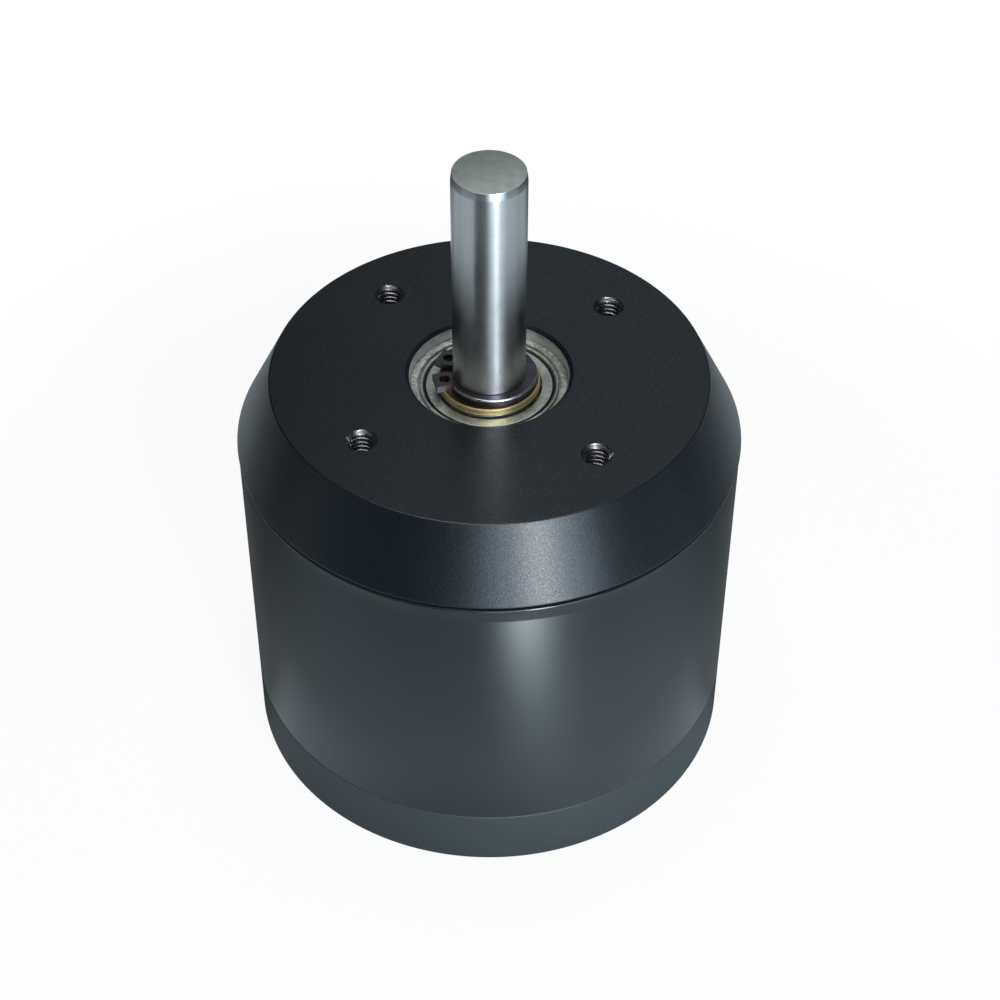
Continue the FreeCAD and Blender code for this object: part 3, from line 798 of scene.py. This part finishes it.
black_finish = Finish("circlip_phosphate", {"Metallic": 1.0})
black_spots = black_finish.noise(0.5 * mm, 4.0)
black_cloud = black_finish.noise(2.0 * mm, 2.0)
phosphate_dark = (0.070, 0.065, 0.080)
phosphate_light = (0.150, 0.142, 0.165)
black_finish.feed("Base Color", black_finish.between(black_cloud, phosphate_dark, phosphate_light))
black_finish.feed("Roughness", black_spots * 0.25 + 0.25)
black_finish.relief(black_spots, 0.008 * mm)
circlip = dressed("shaft_circlip", "circlip", 0.0)
ears_from = -5.0 * mm
rolled_edge = 0.25 * mm
circlip_edges = {}
for face in circlip.data.polygons:
    for key in face.edge_keys:
        circlip_edges.setdefault(key, []).append(face)
rolled = set()
for key, faces in circlip_edges.items():
    top = [face for face in faces if face.normal.z > 0.9]
    side = [face for face in faces if abs(face.normal.z) < 0.1]
    if top and side and side[0].center.x > ears_from:
        if side[0].normal.dot(Vector((side[0].center.x, side[0].center.y, 0))) > 0:
            rolled.add(key)
bpy.ops.object.mode_set(mode="EDIT")
bpy.ops.mesh.select_mode(type="EDGE")
bpy.ops.mesh.select_all(action="DESELECT")
bpy.ops.object.mode_set(mode="OBJECT")
for edge in circlip.data.edges:
    edge.select = tuple(sorted(edge.vertices)) in rolled
bpy.ops.object.mode_set(mode="EDIT")
bpy.ops.mesh.bevel(offset=rolled_edge, segments=4, clamp_overlap=False)
bpy.ops.mesh.select_mode(type="VERT")
bpy.ops.object.mode_set(mode="OBJECT")
placed(circlip, black_finish, "circlip_black", "rotor", "shaft_circlip")
edge_finish = Finish("circlip_worn_edge", {"Metallic": 1.0})
edge_spots = edge_finish.noise(0.8 * mm, 3.0)
edge_finish.feed("Base Color", edge_finish.between(edge_spots, (0.40, 0.40, 0.42), (0.74, 0.74, 0.75)))
edge_finish.feed("Roughness", edge_spots * 0.2 + 0.18)
edge_finish.relief(edge_spots, 0.006 * mm)
circlip.data.materials.append(edge_finish.material)
for face in circlip.data.polygons:
    if 0.1 < abs(face.normal.z) < 0.97:
        face.material_index = 1

# Rear spacer and cable grommet.
# A short ground steel collar holds the rear inner ring off the bell's hub. The grommet is a moulded
# black rubber sleeve, pressed into the cable outlet, with soft edges where the cords would leave.

spacer_finish = Finish("spacer_ground_steel", {"Metallic": 1.0})
spacer_marks = spacer_finish.lines(spacer_finish.z, 0.06 * mm, 3.0)
spacer_cloud = spacer_finish.noise(1.5 * mm)
spacer_finish.feed("Base Color", spacer_finish.between(spacer_cloud, (0.42, 0.43, 0.44), (0.56, 0.57, 0.58)))
spacer_finish.feed("Roughness", spacer_marks * 0.15 + 0.26)
spacer_finish.relief(spacer_marks, 0.003 * mm)
spacer_low, spacer_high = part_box("rear_spacer")
spacer_steps = 128
spacer = turned("spacer_collar", [
    (shaft_radius, spacer_low.z, 0.1 * mm),
    (spacer_high.x, spacer_low.z, 0.12 * mm),
    (spacer_high.x, spacer_high.z, 0.12 * mm),
    (shaft_radius, spacer_high.z, 0.1 * mm),
], spacer_steps)
placed(spacer, spacer_finish, "bearing_steel", "rotor", "rear_spacer")

rubber_finish = Finish("grommet_black_rubber", {"Specular IOR Level": 0.35})
rubber_cloud = rubber_finish.noise(1.6 * mm, 3.0)
rubber_grain = rubber_finish.noise(0.15 * mm, 2.0)
rubber_dark = (0.010, 0.010, 0.011)
rubber_light = (0.020, 0.020, 0.021)
rubber_finish.feed("Base Color", rubber_finish.between(rubber_cloud, rubber_dark, rubber_light))
rubber_finish.feed("Roughness", rubber_grain * 0.15 + rubber_cloud * 0.1 + 0.5)
rubber_finish.relief(rubber_grain, 0.010 * mm)
grommet = dressed("cable_grommet", "outlet_sleeve", 0.2 * mm)
placed(grommet, rubber_finish, "grommet_rubber", "stator", "cable_grommet")

# Magnets.
# Fourteen sintered arc magnets, nickel plated and glued inside the can with alternate poles inwards.
# Their edges are tumbled round before plating, and the plating shows a fine orange-peel.

nickel_finish = Finish("magnet_nickel_plate", {"Metallic": 1.0})
nickel_cloud = nickel_finish.noise(3.0 * mm, 3.0)
nickel_peel = nickel_finish.noise(0.22 * mm, 2.0)
nickel_finish.feed("Base Color", nickel_finish.between(nickel_cloud, (0.52, 0.50, 0.46), (0.62, 0.60, 0.56)))
nickel_finish.feed("Roughness", nickel_cloud * 0.1 + nickel_peel * 0.1 + 0.16)
nickel_finish.relief(nickel_peel, 0.004 * mm)
magnet_count = 14
magnet = dressed("magnet_01", "pole", 0.3 * mm)
for index in range(magnet_count):
    pole = moved(copied(magnet, "pole_%02d" % (index + 1)), (0, 0, 0), 360 * index / magnet_count)
    placed(pole, nickel_finish, "magnet_nickel", "rotor", "magnet_%02d" % (index + 1))
bpy.data.objects.remove(magnet)

# Stator core.
# A stack of half-millimetre silicon steel sheets, stamped with twelve teeth, varnished and baked
# together. The edge of every sheet shows as a line along the stack.

core_finish = Finish("core_laminations", {"Metallic": 0.8, "Specular IOR Level": 0.5})
sheet_thickness = 0.5 * mm
core_sheet = core_finish.fraction(core_finish.z / sheet_thickness)
core_joint = core_finish.band(core_sheet, 0.80, 0.90, 0.92, 1.0)
core_cloud = core_finish.noise(4.0 * mm, 3.0)
core_steel = core_finish.between(core_cloud, (0.16, 0.17, 0.19), (0.25, 0.26, 0.28))
core_shade = core_finish.over(core_joint, core_steel, (0.03, 0.03, 0.035))
core_finish.feed("Base Color", core_shade)
core_finish.feed("Roughness", core_cloud * 0.15 + core_joint * 0.2 + 0.34)
core_finish.relief(1 - core_joint, 0.03 * mm)
stator_core = dressed("stator_core", "tooth_stack", 0.08 * mm, 1)
placed(stator_core, core_finish, "lamination_steel", "stator", "stator_core")

# End insulators.
# Moulded glass-filled nylon plates that line both ends of the core under the windings, with a fence at
# each tooth tip. The front one also carries the sensor board on four posts.

nylon_finish = Finish("insulator_glass_nylon", {"Specular IOR Level": 0.45})
nylon_fibre = nylon_finish.noise(0.3 * mm, 4.0)
nylon_cloud = nylon_finish.noise(5.0 * mm, 2.0)
nylon_finish.feed("Base Color", nylon_finish.between(nylon_cloud * 0.6 + nylon_fibre * 0.4,
                                                     (0.50, 0.48, 0.41), (0.62, 0.60, 0.53)))
nylon_finish.feed("Roughness", nylon_fibre * 0.2 + 0.4)
nylon_finish.relief(nylon_fibre, 0.010 * mm)
for node in ("front_insulator", "rear_insulator"):
    placed(dressed(node, "moulded_" + node, 0.15 * mm, 2), nylon_finish, "insulator_nylon", "stator", node)

# Coils.
# Enamelled copper wire, wound in two to four layers round each tooth: two layers at the root,
# where the slot is narrow, and four at the tip. Every turn is a closed loop of round wire here.

wire_radius = 0.43 * mm
wire_places = 8
coil_low, coil_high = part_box("coil_01")
tooth_half = 3.05 * mm
winding_thickness = 3.0 * mm
window_half_height = (coil_high.z - coil_low.z) / 2 - winding_thickness
coil_middle = (coil_high.z + coil_low.z) / 2
slot_half_angle = math.radians(15)
slot_share = 0.3 * mm / math.cos(slot_half_angle)
first_corner = 0.7 * mm
corner_growth = 0.35 * mm
coil_finish = Finish("winding_enamelled_copper", {"Metallic": 1.0, "Coat Weight": 0.6,
                                                  "Coat Roughness": 0.12})
coil_cloud = coil_finish.noise(2.2 * mm, 3.0)
coil_dust = coil_finish.noise(0.25 * mm, 2.0)
coil_finish.feed("Base Color", coil_finish.between(coil_cloud, (0.42, 0.13, 0.045), (0.62, 0.23, 0.085)))
coil_finish.feed("Roughness", coil_dust * 0.15 + 0.2)
coil_finish.relief(coil_dust, 0.004 * mm)
loops = []
for place in range(wire_places):
    step = (coil_high.x - coil_low.x - 2 * wire_radius) / (wire_places - 1)
    distance = coil_low.x + wire_radius + place * step
    outer_half = distance * math.tan(slot_half_angle) - slot_share
    layers = int((outer_half - tooth_half) / (2 * wire_radius))
    for layer in range(layers):
        share = layer / (layers - 1)
        half_width = tooth_half + wire_radius + share * (outer_half - tooth_half - 2 * wire_radius)
        half_height = window_half_height + wire_radius + share * (winding_thickness - 2 * wire_radius)
        corner = first_corner + corner_growth * layer
        loop = drawn("turn", rounded([
            (-half_width, -half_height, corner),
            (half_width, -half_height, corner),
            (half_width, half_height, corner),
            (-half_width, half_height, corner),
        ]))
        bpy.ops.object.convert(target="CURVE")
        loop = bpy.context.object
        loop.data.bevel_depth = wire_radius
        loop.data.bevel_resolution = 2
        bpy.ops.object.convert(target="MESH")
        loops.append(moved(bpy.context.object, (distance, 0, coil_middle), 90))
winding = joined(loops)
coil_count = 12
for index in range(coil_count):
    coil = moved(copied(winding, "winding_%02d" % (index + 1)), (0, 0, 0), 360 * index / coil_count)
    placed(coil, coil_finish, "winding_copper", "stator", "coil_%02d" % (index + 1), smooth=60)
bpy.data.objects.remove(winding)

# Sensor board.
# A ring of glass epoxy under green solder mask, with copper tracks that run round it below the mask.
# Three sealed position sensors hang from its edge on flat leads, each over a slot.

board_finish = Finish("board_green_mask", {"Specular IOR Level": 0.5, "Coat Weight": 0.3})
board_tracks = board_finish.ramp(board_finish.lines(board_finish.radius, 0.9 * mm, 1.0), 0.50, 0.53)
board_weave = board_finish.noise(0.5 * mm, 2.0)
board_mask = board_finish.between(board_weave, (0.006, 0.060, 0.024), (0.010, 0.085, 0.034))
board_shade = board_finish.over(board_tracks, board_mask, (0.020, 0.150, 0.055))
board_finish.feed("Base Color", board_shade)
board_finish.feed("Roughness", board_weave * 0.12 + 0.26)
board_finish.relief(board_tracks * 0.7 + board_weave * 0.3, 0.03 * mm)
sensor_board = dressed("sensor_board", "board_ring", 0.1 * mm, 2)
placed(sensor_board, board_finish, "board_epoxy", "stator", "sensor_board")

resin_finish = Finish("sensor_black_resin", {"Specular IOR Level": 0.4})
resin_grain = resin_finish.noise(0.12 * mm, 2.0)
resin_cloud = resin_finish.noise(1.2 * mm)
resin_dark = (0.012, 0.012, 0.013)
resin_light = (0.022, 0.022, 0.023)
resin_finish.feed("Base Color", resin_finish.between(resin_cloud, resin_dark, resin_light))
resin_finish.feed("Roughness", resin_grain * 0.2 + 0.45)
resin_finish.relief(resin_grain, 0.008 * mm)
hall_sensors = dressed("hall_sensors", "sensor_bodies", 0.1 * mm, 2)
placed(hall_sensors, resin_finish, "sensor_resin", "stator", "hall_sensors")

# Floor, lights and camera.
# The motor stands on a white table. Mirror rays see a glow map on it, which is painted reflection: painted
# shade close round the motor's foot, a painted patch of light and a glare line in front to the right, and
# brighter bands further out. The camera sees the table white, with a light grey painted shadow near the
# motor.
# A strip light with a dim skirt stands in front of it to the right, with a narrow one above. Soft lamps hang
# overhead, in front and behind, and a dark card lies at the left.

strip_angle = math.radians(20.5)
strip_side = Vector((math.sin(strip_angle), -math.cos(strip_angle), 0))
glare_angle = math.radians(4)
pool_edge = 86 * mm
key_angle = math.radians(10)
glare_side = Vector((math.sin(glare_angle), -math.cos(glare_angle), 0))

bpy.ops.object.select_all(action="DESELECT")
bpy.ops.mesh.primitive_plane_add(size=6.0, location=(0, 0, 0))
floor = bpy.context.object
floor.name = "floor"
glow_range = 8.0
table_finish = Finish("white_table", {"Roughness": 1.0, "Specular IOR Level": 0.0,
                                      "Emission Strength": glow_range})
table_finish.surface.inputs["Base Color"].default_value = (0.06, 0.06, 0.06, 1)
seen = table_finish.node("ShaderNodeLightPath", {}, {}, "Is Camera Ray")
through = table_finish.node("ShaderNodeLightPath", {}, {}, "Is Transmission Ray")
mirrored = table_finish.node("ShaderNodeLightPath", {}, {}, "Is Glossy Ray")
# Painted reflection: the glow that mirror rays see is dim near the motor's foot, as painted shade, and
# brighter in front, to the right and past the rim, with a painted patch of light and glare line to the front
# right.
beside = table_finish.ramp(table_finish.radius, 20 * mm, 55 * mm)
in_front = table_finish.ramp(table_finish.y * -1, -18 * mm, 56 * mm)
to_right = table_finish.ramp(table_finish.x, -50 * mm, 50 * mm)
thinning = 1.15 - table_finish.ramp(table_finish.radius, 45 * mm, 85 * mm) * 0.55
past_rim = table_finish.band(table_finish.radius, 86 * mm, 104 * mm, 150 * mm, 190 * mm)
past_rim = past_rim * table_finish.ramp(table_finish.y * -1, -140 * mm, -40 * mm)
far_ring = table_finish.band(table_finish.radius, 195 * mm, 225 * mm, 300 * mm, 350 * mm)
far_aside = table_finish.x + table_finish.y * 0.151
far_glow = far_ring * far_aside.hump(60 * mm)
beside_foot = table_finish.ramp((table_finish.x * table_finish.x) ** 0.5, 5 * mm, 38 * mm)
beside_foot = beside_foot * (1 - table_finish.ramp(table_finish.radius, 40 * mm, 56 * mm))
beside_foot = beside_foot * table_finish.ramp(table_finish.y * -1, 3 * mm, 14 * mm)
painted_reflection = beside * thinning * (in_front * 0.5 + 0.03) * (to_right * 0.15 + 0.93)
painted_glare_line = table_finish.x * 0.94 + table_finish.y * 0.342
glare_reach = table_finish.band(table_finish.radius, 98 * mm, 106 * mm, 120 * mm, 138 * mm)
painted_glare_line = painted_glare_line.hump(10 * mm) * glare_reach
painted_reflection = painted_reflection + painted_glare_line * 1.6 + past_rim * 0.85 + far_glow * 2.2 + beside_foot * 0.3 + 0.03
pool_ahead = table_finish.x * glare_side.x + table_finish.y * glare_side.y
pool_aside = table_finish.x * glare_side.y - table_finish.y * glare_side.x + 14 * mm
pool_fade = natural_base ** ((pool_ahead - 80 * mm) / (10.5 * mm))
pool_peak = pool_aside.hump(8.5 * mm) * 6.2
pool_right = pool_aside + 12 * mm
pool_skirt = pool_right.hump(16 * mm) * 1.1
pool = pool_fade * (pool_peak + pool_skirt) * (table_finish.radius < pool_edge)
# Painted shadow: the camera sees the table a little grey near the motor, fading to white further out.
white = table_finish.ramp(table_finish.radius, 80 * mm, 200 * mm) * 0.08 + 0.92
glow = (seen + through) * white + mirrored * (painted_reflection + pool)
tint = table_finish.between(mirrored, (1, 1, 1), (0.86, 1.0, 1.08))
table_finish.feed("Emission Color", table_finish.node("ShaderNodeVectorMath", {"operation": "SCALE"},
                                                      {"Vector": tint, "Scale": glow / glow_range}))
floor.data.materials.append(table_finish.material)

world = bpy.data.worlds.new("studio")
bpy.context.scene.world = world
world.use_nodes = True
world.node_tree.nodes["Background"].inputs["Color"].default_value = (0.90, 1.0, 1.08, 1)
world.node_tree.nodes["Background"].inputs["Strength"].default_value = 0.03


def soft_box(name, place, aim, width, height, radiance, colour=(1, 1, 1)):
    """A rectangular lamp of even brightness, where 1 is as bright as white paper in full light."""
    lamp_data = bpy.data.lights.new(name, "AREA")
    lamp_data.shape = "RECTANGLE"
    lamp_data.size = width
    lamp_data.size_y = height
    lamp_data.energy = radiance * math.pi * width * height
    lamp_data.color = colour
    lamp = bpy.data.objects.new(name, lamp_data)
    bpy.context.scene.collection.objects.link(lamp)
    lamp.location = place
    lamp.rotation_euler = (Vector(aim) - Vector(place)).to_track_quat("-Z", "Y").to_euler()
    lamp.visible_camera = False


strip_place = strip_side * 0.6 + Vector((0, 0, 0.25))
soft_box("strip", strip_place, strip_place - strip_side, 0.10, 0.5, 15.0, (0.97, 1.0, 1.03))
skirt_place = strip_place + strip_side * 0.01
soft_box("strip_skirt", skirt_place, strip_place - strip_side, 0.5, 0.5, 3.5, (0.78, 1.0, 1.18))
soft_box("overhead", (0, 0.05, 0.9), (0, 0, 0.05), 0.5, 0.5, 4.5)
key_place = Vector((math.sin(key_angle), -math.cos(key_angle), 0)) * 0.7 + Vector((0, 0, 0.8))
soft_box("key", key_place, (0, 0, 0.07), 0.8, 0.36, 1.8, (0.92, 1.0, 1.06))
high_place = strip_side * 0.58 + Vector((0, 0, 0.56))
soft_box("high_strip", high_place, (0, 0, 0.07), 0.05, 0.3, 24.0)
soft_box("back_panel", (0.30, 0.70, 0.80), (0, 0, 0.06), 0.9, 0.5, 0.42, (0.86, 1.0, 1.08))

bpy.ops.object.select_all(action="DESELECT")
# The card is hidden from the camera and casts no shadow, so it only shows as a dark patch in reflections,
# above all on the shaft: painted shade there.
card_place = (-68 * mm, -188 * mm, 0.5 * mm)
card_turn = -math.radians(20)
bpy.ops.mesh.primitive_plane_add(size=1.0, location=card_place, rotation=(0, 0, card_turn))
flag = bpy.context.object
flag.name = "black_card"
bpy.ops.transform.resize(value=(0.085, 0.22, 1))
flag.visible_camera = False
flag.visible_shadow = False
flag_finish = Finish("black_card", {"Roughness": 1.0, "Specular IOR Level": 0.0})
flag_finish.surface.inputs["Base Color"].default_value = (0.12, 0.12, 0.12, 1)
flag.data.materials.append(flag_finish.material)

camera_data = bpy.data.cameras.new("camera")
camera_data.sensor_width = 36.0
camera_data.lens = 80.87
camera_data.shift_x = 0.01075
camera = bpy.data.objects.new("camera", camera_data)
bpy.context.scene.collection.objects.link(camera)
camera.location = (0, -0.23477, 0.26104)
camera_pitch = 43.5
camera.rotation_euler = (math.radians(90 - camera_pitch), 0, 0)
bpy.context.scene.camera = camera
bpy.context.scene.view_settings.view_transform = "Standard"
